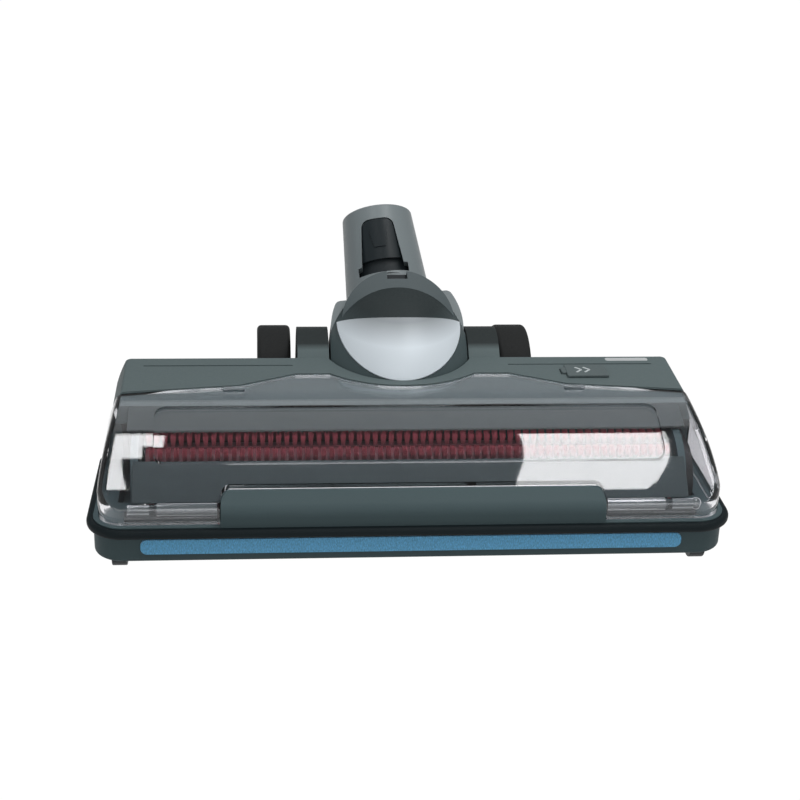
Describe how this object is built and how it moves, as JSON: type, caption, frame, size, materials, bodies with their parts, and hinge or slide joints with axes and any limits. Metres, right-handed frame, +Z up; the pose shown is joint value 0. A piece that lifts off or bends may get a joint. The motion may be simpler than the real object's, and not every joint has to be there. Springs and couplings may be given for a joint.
{
  "type": "vacuum floor head",
  "caption": "Motorised floor head for a stick vacuum: brush roller under a clear lift-off cover, rubber bumper, rear wheels and a tilting, swivelling wand socket.",
  "frame": {"origin": "on the floor under the middle of the whole head", "axes": "+Z up, X across the head, -Y towards the front edge, +Y towards the wand"},
  "size_m": [0.2608, 0.1704, 0.1071],
  "materials": {
    "slate_plastic": "satin moulded",
    "hood_plastic": "satin moulded",
    "grey_plastic": "satin moulded",
    "clear_plastic": "polished clear",
    "lens_plastic": "polished clear",
    "soft_rubber": "matt",
    "blue_velour": "short pile",
    "silver_finish": "silver lacquer",
    "black_plastic": "satin",
    "latch_plastic": "satin moulded",
    "red_bristle": "nylon bristle",
    "belt_rubber": "matt",
    "rim_plastic": "satin",
    "tyre_rubber": "matt",
    "steel": "turned",
    "board": "lacquered board"
  },
  "bodies": {
    "head": {"base_housing": "slate_plastic", "rear_deck": "slate_plastic", "front_bumper": "soft_rubber", "velour_strip": "blue_velour", "corner_light_left": "lens_plastic", "corner_light_right": "lens_plastic", "status_lens": "lens_plastic", "motor": "steel", "circuit_board": "board", "drive_belt": "belt_rubber", "roller_bearing_left": "steel", "roller_bearing_right": "steel", "rear_axle_left": "steel", "rear_axle_right": "steel", "front_pin_left": "steel", "front_pin_right": "steel", "housing_screws": "steel"},
    "cover": {"clear_cover": "clear_plastic"},
    "latch": {"cover_latch": "latch_plastic"},
    "brush_roller": {"roller_core": "black_plastic", "bristle_tufts": "red_bristle", "roller_pulley": "black_plastic"},
    "motor_drive": {"motor_pulley": "black_plastic"},
    "wheel_left": {"wheel_rim_left": "rim_plastic", "wheel_tyre_left": "tyre_rubber"},
    "wheel_right": {"wheel_rim_right": "rim_plastic", "wheel_tyre_right": "tyre_rubber"},
    "foot_left": {"front_roller_left": "black_plastic"},
    "foot_right": {"front_roller_right": "black_plastic"},
    "drum": {"drum_hood": "hood_plastic", "silver_plate": "silver_finish", "collar": "grey_plastic", "collar_catch": "black_plastic", "tilt_pins": "steel"},
    "neck": {"neck_tube": "grey_plastic", "wand_sleeve": "black_plastic", "swivel_pins": "steel"},
    "button": {"release_button": "black_plastic"}
  },
  "joints": [
    {"name": "neck_tilt", "type": "hinge", "parent": "head", "child": "drum", "pos_m": [0, 0.02259, 0.04], "axis": [1, 0, 0], "range_deg": [-36, 40]},
    {"name": "neck_swivel", "type": "hinge", "parent": "drum", "child": "neck", "pos_m": [0, 0.03329, 0.05189], "axis": [0, 0.7431, -0.6691], "range_deg": [-35, 45]},
    {"name": "wheel_left_spin", "type": "hinge", "parent": "head", "child": "wheel_left", "pos_m": [-0.0545, 0.04159, 0.027], "axis": [1, 0, 0], "continuous": true},
    {"name": "wheel_right_spin", "type": "hinge", "parent": "head", "child": "wheel_right", "pos_m": [0.0545, 0.04159, 0.027], "axis": [1, 0, 0], "continuous": true},
    {"name": "foot_left_spin", "type": "hinge", "parent": "head", "child": "foot_left", "pos_m": [-0.1175, -0.07241, 0.007], "axis": [1, 0, 0], "continuous": true},
    {"name": "foot_right_spin", "type": "hinge", "parent": "head", "child": "foot_right", "pos_m": [0.1175, -0.07241, 0.007], "axis": [1, 0, 0], "continuous": true},
    {"name": "brush_spin", "type": "hinge", "parent": "head", "child": "brush_roller", "pos_m": [0, -0.04591, 0.0235], "axis": [1, 0, 0], "continuous": true},
    {"name": "motor_spin", "type": "hinge", "parent": "head", "child": "motor_drive", "pos_m": [0.11, -0.00741, 0.03], "axis": [1, 0, 0], "continuous": true},
    {"name": "cover_lift", "type": "slide", "parent": "head", "child": "cover", "axis": [0, 0, 1], "range_m": [0, 0.035]},
    {"name": "latch_slide", "type": "slide", "parent": "head", "child": "latch", "axis": [1, 0, 0], "range_m": [0, 0.004], "stiffness_N_per_m": 250},
    {"name": "button_press", "type": "slide", "parent": "neck", "child": "button", "axis": [0.1384, 0.7456, -0.6518], "range_m": [0, 0.0008], "stiffness_N_per_m": 500}
  ],
  "couplings": [
    {"joint": "motor_spin", "follows": "brush_spin", "ratio": 2}
  ]
}
